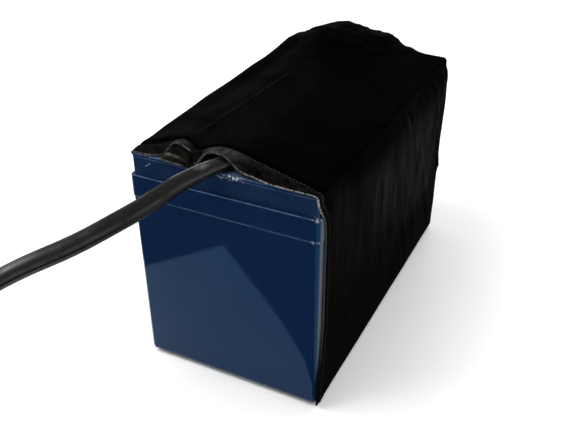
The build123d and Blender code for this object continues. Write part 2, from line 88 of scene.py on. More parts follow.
# ---------------------------------------------------------------- camera
camera = bpy.data.objects.new("camera", bpy.data.cameras.new("camera"))
scene.collection.objects.link(camera)
camera.data.sensor_width = 36
camera.data.lens = 45.9
CAMERA_DISTANCE = 0.554
aim = Vector((0.0609, front_y, 0.1883))
azimuth = math.radians(-26.03)
elevation = math.radians(31.49)
gaze = Vector((
    math.sin(azimuth) * math.cos(elevation),
    math.cos(azimuth) * math.cos(elevation),
    -math.sin(elevation),
))
camera.location = aim - gaze * CAMERA_DISTANCE
camera.rotation_euler = gaze.to_track_quat("-Z", "Y").to_euler()
scene.camera = camera
scene.view_settings.view_transform = "Standard"


# ---------------------------------------------------------------- mesh helpers
def add_mesh(name, points, faces, smooth=True):
    """A new mesh object from points in metres and index faces."""
    mesh = bpy.data.meshes.new(name)
    mesh.from_pydata([tuple(p) for p in points], [], [tuple(f) for f in faces])
    mesh.validate()
    if smooth:
        mesh.shade_smooth()
    piece = bpy.data.objects.new(name, mesh)
    scene.collection.objects.link(piece)
    return piece


def spline_points(points):
    """The line that a NURBS curve of order 3 takes through these control points."""
    curve = bpy.data.curves.new("route", "CURVE")
    curve.dimensions = "3D"
    curve.resolution_u = 10
    spline = curve.splines.new("NURBS")
    spline.points.add(len(points) - 1)
    for control, point in zip(spline.points, points):
        control.co = (*point, 1)
    spline.order_u = 3
    spline.use_endpoint_u = True
    holder = bpy.data.objects.new("route", curve)
    scene.collection.objects.link(holder)
    bpy.context.view_layer.update()
    mesh = bpy.data.meshes.new_from_object(holder)
    line = np.array([v.co[:] for v in mesh.vertices])
    bpy.data.objects.remove(holder)
    bpy.data.meshes.remove(mesh)
    return line


def flat_section(per_corner=7, per_face=5):
    """Points around the cable's section, x across and y up: rounded edges, crowned faces."""
    flat_x = CABLE_WIDTH / 2 - CABLE_EDGE
    flat_y = CABLE_THICKNESS / 2 - CABLE_CROWN - CABLE_EDGE
    rows = []
    for first, sx, sy in ((0, 1, 1), (90, -1, 1), (180, -1, -1), (270, 1, -1)):
        for t in np.linspace(0, 90, per_corner):
            a = math.radians(first + t)
            rows.append((sx * flat_x + CABLE_EDGE * math.cos(a),
                         sy * flat_y + CABLE_EDGE * math.sin(a)))
        if sy == sx:
            for t in np.linspace(1, -1, per_face + 2)[1:-1]:
                rise = CABLE_THICKNESS / 2 - CABLE_CROWN * t * t
                rows.append((sx * t * flat_x, sy * rise))
    return np.array(rows)


def frames_along(line):
    """Level-across and upward unit vectors for each point of a line."""
    tangents = np.gradient(line, axis=0)
    tangents /= np.linalg.norm(tangents, axis=1)[:, None]
    across = np.cross(tangents, (0, 0, 1))
    across /= np.linalg.norm(across, axis=1)[:, None]
    return across, np.cross(across, tangents)


def smooth(low, high, value):
    """0 below low, 1 above high, and a smooth step between."""
    t = np.clip((np.asarray(value, float) - low) / (high - low), 0, 1)
    return t * t * (3 - 2 * t)


def bump(value, centre, reach):
    """1 at the centre and 0 past reach, with a soft top."""
    return 1 - smooth(0, reach, np.abs(np.asarray(value, float) - centre))


def read(rows, at, column=1):
    """A column of a table, between its rows, at values of its first column."""
    return np.interp(at, rows[:, 0], rows[:, column])


def tube_faces(ring_count, ring, first=0):
    """The wall and both ends of a tube whose rings of points begin at index first."""
    faces = []
    for start in range(first, first + (ring_count - 1) * ring, ring):
        for j in range(ring):
            a, b = start + j, start + (j + 1) % ring
            faces.append((a, b, b + ring, a + ring))
    last = first + (ring_count - 1) * ring
    faces.append(range(first + ring - 1, first - 1, -1))
    faces.append(range(last, last + ring))
    return faces


# ---------------------------------------------------------------- free cable
cable_route = [
    (-0.006, front_y, lid_z + CABLE_LIES),
    (-0.018, front_y - 0.024, lid_z + 0.0024),
    (-0.030, front_y - 0.047, lid_z - 0.0076),
    (-0.052, front_y - 0.068, lid_z - 0.0212),
    (-0.079, front_y - 0.083, lid_z - 0.0388),
    (-0.118, front_y - 0.101, lid_z - 0.0592),
    (-0.152, front_y - 0.114, lid_z - 0.0820),
    (-0.178, front_y - 0.139, 0.093),
    (-0.194, front_y - 0.166, 0.062),
    (-0.202, front_y - 0.197, 0.035),
    (-0.205, front_y - 0.230, 0.015),
    (-0.204, front_y - 0.264, CABLE_LIES),
    (-0.200, front_y - 0.296, 0.0052),
    (-0.200, front_y - 0.327, 0.0086),
]
cable_line = spline_points(cable_route)
# the same jacket goes on under the sleeve, straight along the lid
LID_RUN = 40 * MM
LID_STEPS = 8
back = Vector((12, 24, 0)).normalized()
lid_line = np.array([
    tuple(Vector(cable_route[0]) + back * (LID_RUN * (1 - k / LID_STEPS))) for k in range(LID_STEPS)
])
whole_line = np.concatenate([lid_line, cable_line])
across, up = frames_along(whole_line)
share = np.clip(np.arange(-LID_STEPS, len(cable_line)) / len(cable_line), 0, 1)
cable_rolls = np.radians(np.interp(share, (0, 0.1, 0.25, 0.4, 0.6, 0.85), (14, 20, 28, 33, 20, 0)))
cable_scales = np.interp(share, (0, 0.12, 0.4), (0.88, 1.0, 1.09))
cable_section = flat_section()


def jacket(node, stretch):
    """The jacket that replaces a node of the cable, along that stretch of the whole line."""
    points = []
    for k in range(len(whole_line))[stretch]:
        c, s = math.cos(cable_rolls[k]), math.sin(cable_rolls[k])
        for x, y in cable_section * cable_scales[k]:
            points.append(whole_line[k] + across[k] * (x * c - y * s) + up[k] * (x * s + y * c))
    ring = len(cable_section)
    piece = add_mesh(f"{node}_jacket", points, tube_faces(len(points) // ring, ring))
    piece.data.set_sharp_from_angle(angle=math.radians(50))
    # how near each point is to one of the jacket's two upper ridges, for the painted highlights along
    # them
    angles = np.degrees(np.arctan2(*(cable_section / cable_section.max(axis=0)).T[::-1]))
    near = np.maximum(bump(angles, 45, 14), bump(angles, 135, 14))
    ridge = piece.data.attributes.new("ridge", "FLOAT", "POINT")
    ridge.data.foreach_set("value", np.tile(near, len(points) // ring).astype(np.float32))
    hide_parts(node)
    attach(piece, "battery")
    return piece


output_cable = jacket("output_cable", slice(LID_STEPS, None))
lid_cable = jacket("lid_cable", slice(0, LID_STEPS + 1))

# ---------------------------------------------------------------- the sleeve's shape
# Sleeve work is in millimetres and is turned to metres when its meshes are made.
OUT_X = half_width * 1000 + 1.5  # the cloth's outer face, at the sides
LID = lid_z * 1000
REST = 1.8  # the cloth's outer face over the bare lid
TOP = LID + REST
FOOT = 0.9
FRONT = front_y * 1000
REAR = rear_y * 1000 + 1.6
TOP_CORNER = 3.5
FOOT_CORNER = 5.5
CLOTH = 0.9
HEM_CLOTH = 1.7  # the hem is doubled
SIDE_HEM = 8.8  # width of the hem down the sides
GROOVE_DEPTH = 1.4  # of the seam behind the hem
ROUND_PITCH = 2.0  # between points round the sleeve
ROW_PITCH = 3.0  # between rings along it
SLACK_FROM, SLACK_TO = 205, 322  # the top's slack grows over this stretch behind the mouth
DEEPEST_DIP = 0.25  # how far a wrinkle may sink below the smooth cloth


def soft(points, scale, seed):
    """Smooth noise from about -1 to 1 at points."""
    lots = np.asarray(points) / scale
    return np.array([noise.noise(Vector((x, y, z + seed))) for x, y, z in lots])


def ridged(points, scale, seed):
    """Ridged noise from 0 to 1 at points, for creases in cloth."""
    return 1 - np.minimum(1, np.abs(soft(points, scale, seed)) * 2.2)


# ---- how high the things on the lid hold the cloth
CELL = 2.0
SAMPLE = 1.5  # how closely their faces are sampled
SPACING = 0.5  # left free between them and the cloth
grid_x = np.arange(-84, 84.1, CELL)
grid_y = np.arange(FRONT, REAR + CELL, CELL)
lowest = np.full((len(grid_x), len(grid_y)), REST)
for name in ("lid_cable", "split_boot", "positive_lead", "negative_lead", "terminal_bolts",
             "positive_lug_sleeve", "negative_lug_sleeve"):
    mesh = nodes[name].data
    mesh.calc_loop_triangles()
    spots = np.array([v.co[:] for v in mesh.vertices]) * 1000
    for triangle in mesh.loop_triangles:
        a, b, c = spots[list(triangle.vertices)]
        span = max(np.linalg.norm(b - a), np.linalg.norm(c - a))
        steps = int(span / SAMPLE) + 2
        for u in np.linspace(0, 1, steps):
            row = a + (b - a) * u
            side = a + (c - a) * u
            for v in np.linspace(0, 1, steps):
                spot = row + (side - row) * v
                i = int(round((spot[0] - grid_x[0]) / CELL))
                j = int(round((spot[1] - FRONT) / CELL))
                if 0 <= i < len(grid_x) and 0 <= j < len(grid_y):
                    lowest[i, j] = max(lowest[i, j], spot[2] - LID + CLOTH + SPACING)
padded = np.pad(lowest, 1, mode="edge")
lowest = np.maximum.reduce([padded[i:i + len(grid_x), j:j + len(grid_y)]
                            for i in range(3) for j in range(3)])

# a sheet stretched over them, by successive over-relaxation; it is slacker along than across
RELAX_STEPS = 260
OVER_RELAX = 1.85
PULL_ALONG = 0.35
height = lowest.copy()
checker = (np.add.outer(np.arange(len(grid_x)), np.arange(len(grid_y))) % 2).astype(bool)
for _ in range(RELAX_STEPS):
    for squares in (checker, ~checker):
        sides = np.pad(height, ((1, 1), (0, 0)), constant_values=REST)
        ends = np.pad(height, ((0, 0), (1, 1)), mode="edge")
        mean = sides[:-2] + sides[2:] + PULL_ALONG * (ends[:, :-2] + ends[:, 2:])
        mean = mean / (2 + 2 * PULL_ALONG)
        relaxed = np.maximum(height + OVER_RELAX * (mean - height), lowest)
        height = np.where(squares, relaxed, height)


def held_height(x, y):
    """The stretched sheet's height over the lid, between grid points."""
    u = np.clip((x - grid_x[0]) / CELL, 0, len(grid_x) - 1.001)
    v = np.clip((y - FRONT) / CELL, 0, len(grid_y) - 1.001)
    i, j = u.astype(int), v.astype(int)
    u, v = u - i, v - j
    held = (height[i, j] * (1 - u) * (1 - v) + height[i + 1, j] * u * (1 - v)
            + height[i, j + 1] * (1 - u) * v + height[i + 1, j + 1] * u * v)
    return held + (REST - held) * smooth(83, 87, np.abs(x))


# ---- the hem along the top: across, its edge's setback and rise, its groove's setback and rise
HEM = np.array([
    (-88.0, 2.0, 0.8, 12.0, 1.6), (-84.0, 3.0, 1.5, 17.0, 2.0), (-76.0, 2.5, 1.6, 18.5, 3.0),
    (-68.0, 2.0, 1.8, 20.0, 4.8), (-62.0, 4.0, 1.8, 22.0, 6.6), (-56.6, 7.0, 2.2, 24.0, 8.2),
    (-55.2, 7.8, 4.5, 24.5, 8.6), (-53.6, 8.8, 7.2, 25.0, 9.0), (-51.8, 10.2, 10.2, 26.0, 9.4),
    (-49.8, 11.8, 12.2, 26.5, 9.5), (-47.0, 13.0, 13.0, 27.0, 9.5), (-43.0, 13.0, 12.2, 26.0, 9.0),
    (-38.5, 12.4, 10.8, 23.5, 8.4), (-34.0, 11.6, 9.4, 20.0, 8.0), (-30.6, 10.2, 7.8, 17.2, 8.1),
    (-27.9, 7.2, 5.2, 16.4, 8.5), (-25.8, 3.8, 3.0, 16.6, 8.9), (-23.4, 2.0, 2.6, 17.4, 9.6),
    (-21.6, 3.0, 4.2, 18.5, 10.2), (-20.3, 5.2, 7.2, 19.2, 10.6), (-18.0, 7.6, 10.4, 20.4, 11.1),
    (-15.0, 10.0, 12.0, 22.0, 11.8), (-10.0, 10.8, 12.4, 23.5, 12.2), (-5.0, 10.3, 12.2, 24.0, 12.2),
    (0.0, 9.4, 11.7, 23.8, 12.0), (4.0, 8.2, 11.0, 23.2, 11.7), (8.0, 6.4, 9.4, 22.5, 11.4),
    (12.0, 4.8, 7.4, 21.6, 11.0), (16.0, 3.6, 5.6, 20.6, 10.5), (21.0, 3.0, 4.2, 19.3, 10.0),
    (29.0, 2.6, 3.6, 17.0, 9.2), (35.0, 1.6, 2.7, 16.0, 8.6), (44.0, 0.6, 1.9, 14.0, 7.6),
    (58.0, 0.4, 1.6, 11.5, 5.8), (72.0, 0.6, 1.5, 9.0, 3.8), (80.0, 0.8, 1.3, 6.8, 2.6),
    (84.0, 0.4, 1.0, 6.0, 2.0), (88.0, -1.0, 0.8, 6.0, 1.6),
])
# the hem's setback down the sides, by height
RIGHT_HEM = np.array([
    (0.0, -0.5), (22.0, 0.0), (34.0, 1.5), (50.0, 5.0), (84.0, 8.2), (119.0, 8.4), (155.0, 8.6),
    (178.0, 8.2), (189.0, 6.2), (197.0, 2.4), (203.0, 0.2), (208.0, -1.0),
])
LEFT_HEM = np.array([(0.0, 6.0), (100.0, 9.0), (190.0, 9.0), (203.0, 8.0), (208.0, 4.0)])
BOTTOM_HEM = 9.0
# how far the loose cloth stands above the lid: along its left edge, and across its rear end
LEFT_LIFT = np.array([
    (0.0, 0.0), (22.0, 0.3), (58.0, 0.9), (98.0, 1.9), (120.0, 3.0), (176.0, 3.2), (212.0, 4.2),
    (240.0, 4.0), (264.0, 4.8), (294.0, 7.2), (312.0, 5.5), (325.0, 1.0), (345.0, 0.0),
])
REAR_LIFT = np.array([
    (-93.0, 0.0), (-83.0, 2.6), (-73.0, 7.2), (-63.0, 12.8), (-53.0, 15.4), (-34.0, 15.8),
    (-24.0, 14.8), (-14.0, 11.6), (-4.0, 9.6), (6.0, 9.8), (14.0, 8.6), (24.0, 4.4), (34.0, 0.4),
    (43.0, 0.0),
])
# a long straight fold on the top: its X at its front end, its course over Y, and its height
FOLD_X = -45.5
FOLD_Y = (-128.0, 38.0)
FOLD_SLOPE = 0.038
FOLD_RISE = 0.7


def loop_section():
    """Points round the sleeve's section with outward normals, from the bottom's middle to +X."""
    rows = []

    def run(start, stop, normal):
        count = max(1, round(math.dist(start, stop) / ROUND_PITCH))
        for t in np.arange(0, 1, 1 / count):
            rows.append((start[0] + (stop[0] - start[0]) * t, start[1] + (stop[1] - start[1]) * t,
                         *normal))

    def turn(x, z, radius, first):
        count = max(4, round(radius * math.pi / 2 / ROUND_PITCH * 1.6))
        for t in np.arange(0, 1, 1 / count):
            a = math.radians(first + 90 * t)
            rows.append((x + radius * math.cos(a), z + radius * math.sin(a),
                         math.cos(a), math.sin(a)))

    low, high = FOOT + FOOT_CORNER, TOP - TOP_CORNER
    foot_x, top_x = OUT_X - FOOT_CORNER, OUT_X - TOP_CORNER
    run((0, FOOT), (foot_x, FOOT), (0, -1))
    turn(foot_x, low, FOOT_CORNER, -90)
    run((OUT_X, low), (OUT_X, high), (1, 0))
    turn(top_x, high, TOP_CORNER, 0)
    run((top_x, TOP), (-top_x, TOP), (0, 1))
    turn(-top_x, high, TOP_CORNER, 90)
    run((-OUT_X, high), (-OUT_X, low), (-1, 0))
    turn(-foot_x, low, FOOT_CORNER, 180)
    run((-foot_x, FOOT), (0, FOOT), (0, -1))
    return np.array(rows)


section = loop_section()
AROUND = len(section)
x0, z0, nx, nz = section.T
on_top = np.clip(nz, 0, 1) ** 2
on_side = nx ** 2
hem_edge, hem_rise, groove, groove_rise = (read(HEM, x0, k) for k in range(1, 5))
side_edge = np.where(x0 > 0, read(RIGHT_HEM, z0), read(LEFT_HEM, z0))
below = nz < -0.5
edge = np.where(below, BOTTOM_HEM, hem_edge * on_top + side_edge * (1 - on_top))
hem_width = np.where(below, SIDE_HEM, (groove - hem_edge) * on_top + SIDE_HEM * (1 - on_top))
# the sleeve's rings: shares of the way across the hem, then distances behind its groove
hem_shares = [0, 0.04, 0.1, 0.18, 0.27, 0.36, 0.45, 0.52, 0.59, 0.66, 0.73, 0.8, 0.87, 0.93, 1.0]
behind = [0.7, 1.5, 2.5, 3.8, 5.4, 7.4, 9.8, 12.4, 15.2]
while behind[-1] < REAR - FRONT - HEM[:, 3].max():
    behind.append(behind[-1] + ROW_PITCH)
HEM_ROWS = len(hem_shares)


def shape_row(share, past):
    """One ring of the sleeve: share across the hem, then mm past its groove."""
    y = FRONT + edge + hem_width * share
    y = y + (REAR - y) * past / behind[-1]
    along = y - FRONT
    x, z = x0.copy(), z0.copy()
    # over the lid: the hem rises to its groove, and the cloth settles behind it after a puff
    held = held_height(x, y)
    if past == 0:
        rise = hem_rise + (groove_rise - hem_rise) * math.sin(math.pi / 2 * share)
        rise = rise + 0.8 * math.sin(math.pi * share)
        rise = rise - GROOVE_DEPTH * math.exp(-(((1 - share) * 9) ** 2))
    else:
        left_over = groove_rise - held_height(x, FRONT + edge + hem_width)
        rise = np.maximum(held + left_over * math.exp(-past / 10), held - 0.2)
        rise = rise + 1.5 * past / 4 * math.exp(1 - past / 4)
        rise = rise - GROOVE_DEPTH * math.exp(-(past / 1.4) ** 2)
    z = z + on_top * (rise - REST)
    # the section is narrower over the lid's upper band, but loose behind the mouth's left corner
    narrow = np.where(x < 0, 1 - 0.9 * smooth(15, 60, along), 1.0)
    x = x * (1 - 0.029 * smooth(186, 207, z0) * narrow)
    # sides
    belly = np.sin(np.pi * np.clip((z0 - 8) / (TOP - 16), 0, 1))
    x = x + nx * on_side * belly * (0.7 * smooth(20, 120, along) - 0.15)
    # slack at the top of the rear
    swell = smooth(SLACK_FROM, SLACK_TO, along) ** 1.6
    z = z + on_top * swell * read(REAR_LIFT, x)
    z = z + read(LEFT_LIFT, along) * (smooth(-66, -84, x) * smooth(190, TOP - TOP_CORNER, z0))
    x = x + nx * on_side * smooth(120, TOP, z0) * 2.0 * swell * np.where(nx < 0, 1.0, 0.2)
    return np.stack([x, y, z], 1)


rings = [shape_row(share, 0) for share in hem_shares] + [shape_row(1, past) for past in behind]
wall = np.concatenate(rings)
wall_normals = np.tile(np.stack([nx, 0 * nx, nz], 1), (len(rings), 1))
distance = np.repeat([10 * share for share in hem_shares] + [10 + past for past in behind], AROUND)


def wrinkle(points, normals, distances):
    """Creases and soft waves of loose cloth, along the outward normals."""
    x, y, z = points.T
    along = y - FRONT
    top = np.clip(normals[:, 2], 0, 1) ** 2
    side = normals[:, 0] ** 2
    bottom = np.clip(-normals[:, 2], 0, 1)
    waves = 0.7 * soft(points, (46, 90, 60), 3.1) + 0.3 * soft(points, (17, 34, 24), 7.7)
    # side: long slanted drapes, stronger towards the rear
    slanted = np.stack([x, y + 0.45 * z, z * 0.3], 1)
    drape = ridged(slanted, (60, 26, 60), 1.7) ** 3 * (0.4 + 1.2 * smooth(120, 300, along))
    # top: gathers that run back from the mouth beside the cable
    gathered = np.stack([x + 0.25 * along, along * 0.22, z * 0.2], 1)
    gather = ridged(gathered, (9.5, 14, 30), 4.2) ** 2.2
    near = (1 - smooth(18, 75, along)) * bump(x, -30, 58) * smooth(9, 16, distances)
    # rear top: bunched cloth
    bunch = ridged(np.stack([x, y * 1.2, z], 1), (24, 17, 30), 9.4) ** 2.4
    rear = smooth(225, 320, along) * smooth(-92, -60, x) * (1 - smooth(20, 70, x))
    move = waves * (0.5 + 0.4 * side)
    move = move + side * 1.4 * drape * smooth(4, 40, z) * (1 - smooth(190, 210, z))
    move = move + top * (1.6 * gather * near + 2.4 * bunch * rear)
    fold = np.exp(-(((x - FOLD_X - FOLD_SLOPE * (y - FOLD_Y[0])) / 2.0) ** 2))
    fold = fold * smooth(FOLD_Y[0] - 8, FOLD_Y[0] + 8, y) * smooth(FOLD_Y[1], FOLD_Y[1] - 20, y)
    move = move + top * FOLD_RISE * fold
    move = move * (1 - bottom) * (0.3 + 0.7 * smooth(6, 34, distances))
    move = np.maximum(move, -DEEPEST_DIP)
    return points + normals * move[:, None]


wall = wrinkle(wall, wall_normals, distance)
wall[:, 2] = np.maximum(wall[:, 2], CLOTH / 2)

# ---- the closed end: rings that shrink to the middle of the rear
last_ring = wall[-AROUND:]
middle_z = LID * 0.5
END_RINGS = 34
END_CORNER = 4.5  # how far the closed end stands behind the last ring, past its rounded corner
CORNER_SHARE = 0.07  # the share of the way to the middle that the corner takes
end_rings = []
for k in range(1, END_RINGS):
    t = k / END_RINGS
    ring = last_ring.copy()
    ring[:, 0] *= 1 - t
    ring[:, 2] += (middle_z - ring[:, 2]) * t
    ring[:, 1] += END_CORNER * math.sqrt(1 - (1 - min(1, t / CORNER_SHARE)) ** 2)
    end_rings.append(ring)
end = np.concatenate(end_rings)
ex, ey, ez = end.T


def rear_swell(x, z):
    """How far the closed end stands behind the case."""
    puff = 17 * bump(z, LID + 2, 74) ** 1.2 * smooth(-92, -66, x) * (1 - smooth(14, 64, x))
    slack = 3.2 * np.sin(np.pi * np.clip((z + 4) / (LID + 12), 0, 1)) * np.cos(x / OUT_X * 1.35)
    # folded like a parcel: side tucks, then a flap from above with a hemmed edge
    tuck = 2.2 * smooth(0, 5, (OUT_X - np.abs(x)) * 1.35 + 26 - z * 0.62)
    flap = 2.6 * smooth(0, 4, z - 92 - 9 * np.cos(x / 34.0) - 0.10 * x)
    return puff + slack + tuck + flap


ey = ey + rear_swell(ex, ez) * smooth(0, 14, OUT_X - np.abs(ex)) * smooth(0, 12, ez)
crumple = ridged(np.stack([ex, ez * 0.8, ey * 0.2], 1), (21, 30, 30), 5.5) ** 2.6
ey = ey + (1.2 + 3.2 * bump(ez, LID, 80)) * crumple * smooth(2, 26, OUT_X - np.abs(ex))
end = np.stack([ex, ey, ez], 1)
tip_point = np.array([[0.0, end[-AROUND:, 1].mean() + 0.2, middle_z]])

cloth_points = np.concatenate([wall, end, tip_point]) * MM
row_count = len(rings) + END_RINGS - 1
cloth_faces = []
for k in range(row_count - 1):
    for j in range(AROUND):
        a, b = k * AROUND + j, k * AROUND + (j + 1) % AROUND
        cloth_faces.append((a, a + AROUND, b + AROUND, b))
tip = len(cloth_points) - 1
base = (row_count - 1) * AROUND
for j in range(AROUND):
    cloth_faces.append((base + j, tip, base + (j + 1) % AROUND))

sleeve = add_mesh("sleeve_cloth", cloth_points, cloth_faces)
CLOTH_SLOT, TAPE_SLOT, EDGE_SLOT = range(3)
for slot in (CLOTH_SLOT, TAPE_SLOT, EDGE_SLOT):
    sleeve.data.materials.append(None)
for face in sleeve.data.polygons:
    row = face.index // AROUND
    face.material_index = CLOTH_SLOT if row >= HEM_ROWS - 1 else TAPE_SLOT if row else EDGE_SLOT
doubled = sleeve.vertex_groups.new(name="doubled")
hem_points = (HEM_ROWS - 1) * AROUND
doubled.add(range(hem_points), 1.0, "REPLACE")
doubled.add(range(hem_points, len(cloth_points)), CLOTH / HEM_CLOTH, "REPLACE")
thick = sleeve.modifiers.new("thickness", "SOLIDIFY")
thick.thickness = HEM_CLOTH * MM
thick.offset = -1
thick.use_even_offset = False
thick.vertex_group = "doubled"
thick.material_offset_rim = EDGE_SLOT


def apply_modifiers(piece):
    """Bake a piece's modifiers into its mesh."""
    bpy.context.view_layer.update()
    graph = bpy.context.evaluated_depsgraph_get()
    baked = bpy.data.meshes.new_from_object(piece.evaluated_get(graph))
    piece.modifiers.clear()
    piece.data = baked


# ---------------------------------------------------------------- hem stitches
# how far across the hem the seam runs
SEAM_ON_TOP = 0.9
SEAM_ON_SIDE = 0.6
seam_share = np.where(below, SEAM_ON_SIDE, on_top * SEAM_ON_TOP + (1 - on_top) * SEAM_ON_SIDE)
shares = np.array(hem_shares)
upper = np.searchsorted(shares, seam_share).clip(1, HEM_ROWS - 1)
part = (seam_share - shares[upper - 1]) / (shares[upper] - shares[upper - 1])
column = np.arange(AROUND)
seam = (wall[(upper - 1) * AROUND + column] * (1 - part)[:, None]
        + wall[upper * AROUND + column] * part[:, None])
ahead = np.roll(seam, -1, 0)
steps = np.linalg.norm(ahead - seam, axis=1)
reached = np.concatenate([[0], np.cumsum(steps)])
STITCH_PITCH = 3.4
STITCH_REACH = 1.25  # half a stitch's length
STITCH_RINGS = (  # place along the stitch, and radius
    (-STITCH_REACH, 0.12), (-0.75, 0.36), (0, 0.44), (0.75, 0.36), (STITCH_REACH, 0.12),
)
STITCH_SIDES = 6
STITCH_ARCH = 0.3  # how far its middle stands above its ends
stitch_count = int(reached[-1] / STITCH_PITCH)
stitch_points, stitch_faces = [], []
for k in range(stitch_count):
    s = (k + 0.5) * reached[-1] / stitch_count
    j = int(np.searchsorted(reached, s) - 1)
    share = (s - reached[j]) / steps[j]
    centre = seam[j] * (1 - share) + ahead[j] * share
    along = (ahead[j] - seam[j]) / steps[j]
    outward = np.array([nx[j], 0, nz[j]])
    if nz[j] > 0.5:
        outward = np.array([0, -0.45, 0.9])
    outward = outward - along * (outward @ along)
    outward /= np.linalg.norm(outward)
    cross = np.cross(along, outward)
    first = len(stitch_points)
    for length, radius in STITCH_RINGS:
        arch = 0.12 + STITCH_ARCH * (1 - (length / STITCH_REACH) ** 2)
        for turn in range(STITCH_SIDES):
            a = turn * math.tau / STITCH_SIDES
            stitch_points.append(
                centre + along * length + outward * (arch + radius * math.sin(a))
                + cross * radius * math.cos(a)
            )
    stitch_faces += tube_faces(len(STITCH_RINGS), STITCH_SIDES, first)
stitches = add_mesh("hem_stitches", np.array(stitch_points) * MM, stitch_faces)

# ---------------------------------------------------------------- facing inside the mouth
# A strip of the lining shows under the raised part of the hem, left of the cable.
FACING = np.array([  # across, its edge's setback and rise
    (-62.0, 8.0, 1.4), (-57.0, 4.6, 1.4), (-54.0, 1.0, 1.2), (-50.0, -0.5, 1.0), (-44.0, -0.9, 0.9),
    (-36.0, -1.0, 0.8), (-30.0, -0.9, 0.8), (-26.0, -0.2, 0.9), (-23.0, 1.5, 1.4),
])
FACING_ROWS = 22
FACING_PITCH = 1.25
FACING_BACK = 26.0  # how far in it reaches
FACING_BELOW = 3.0  # how far it stays below the hem's edge
FACING_CLOTH = 0.5
FOLD_AT = 0.19  # a fold crosses it at this share of the way in
FOLD_STANDS = 2.2
facing_x = np.arange(FACING[0, 0], FACING[-1, 0] + 0.1, FACING_PITCH)
facing_edge, facing_rise = read(FACING, facing_x, 1), read(FACING, facing_x, 2)
facing_roof = read(HEM, facing_x, 2) - FACING_BELOW
facing_points, facing_faces = [], []
for x, start, low, high in zip(facing_x, facing_edge, facing_rise, facing_roof):
    for t in np.linspace(0, 1, FACING_ROWS):
        y = start + (FACING_BACK - start) * t
        lift = math.sin(math.pi / 2 * min(1, t / 0.55)) ** 1.4
        rise = low + (max(high, low + 0.4) - low) * lift
        rise = rise + 0.3 * math.sin(x * 0.5 + 7 * t) * min(1, 5 * t)
        fold = math.exp(-(((t - FOLD_AT) / 0.05) ** 2)) * float(bump(x, -44, 17))
        rise = rise + FOLD_STANDS * fold
        facing_points.append((x, FRONT + y, LID + min(rise, max(high + 0.5, low + 0.5))))
for i in range(len(facing_x) - 1):
    for j in range(FACING_ROWS - 1):
        a = i * FACING_ROWS + j
        facing_faces.append((a, a + FACING_ROWS, a + FACING_ROWS + 1, a + 1))
facing = add_mesh("mouth_facing", np.array(facing_points) * MM, facing_faces)
layer = facing.modifiers.new("thickness", "SOLIDIFY")
layer.thickness = FACING_CLOTH * MM
layer.offset = -1
LINING_SLOT, RIM_SLOT = range(2)
for slot in (LINING_SLOT, RIM_SLOT):
    facing.data.materials.append(None)
for face in facing.data.polygons:
    face.material_index = LINING_SLOT if face.index % (FACING_ROWS - 1) else RIM_SLOT
layer.material_offset_rim = RIM_SLOT
apply_modifiers(facing)

apply_modifiers(sleeve)
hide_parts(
    "sleeve_top", "sleeve_left", "sleeve_right", "sleeve_bottom", "sleeve_rear", "sleeve_rear_fold",
)
for piece, slot in ((sleeve, "sleeve_cloth"), (stitches, "thread"), (facing, "hem_tape")):
    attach(piece, "sleeve")


# ---------------------------------------------------------------- materials
def grey(level):
    """A neutral colour; colours are linear red, green and blue."""
    return (level, level, level)


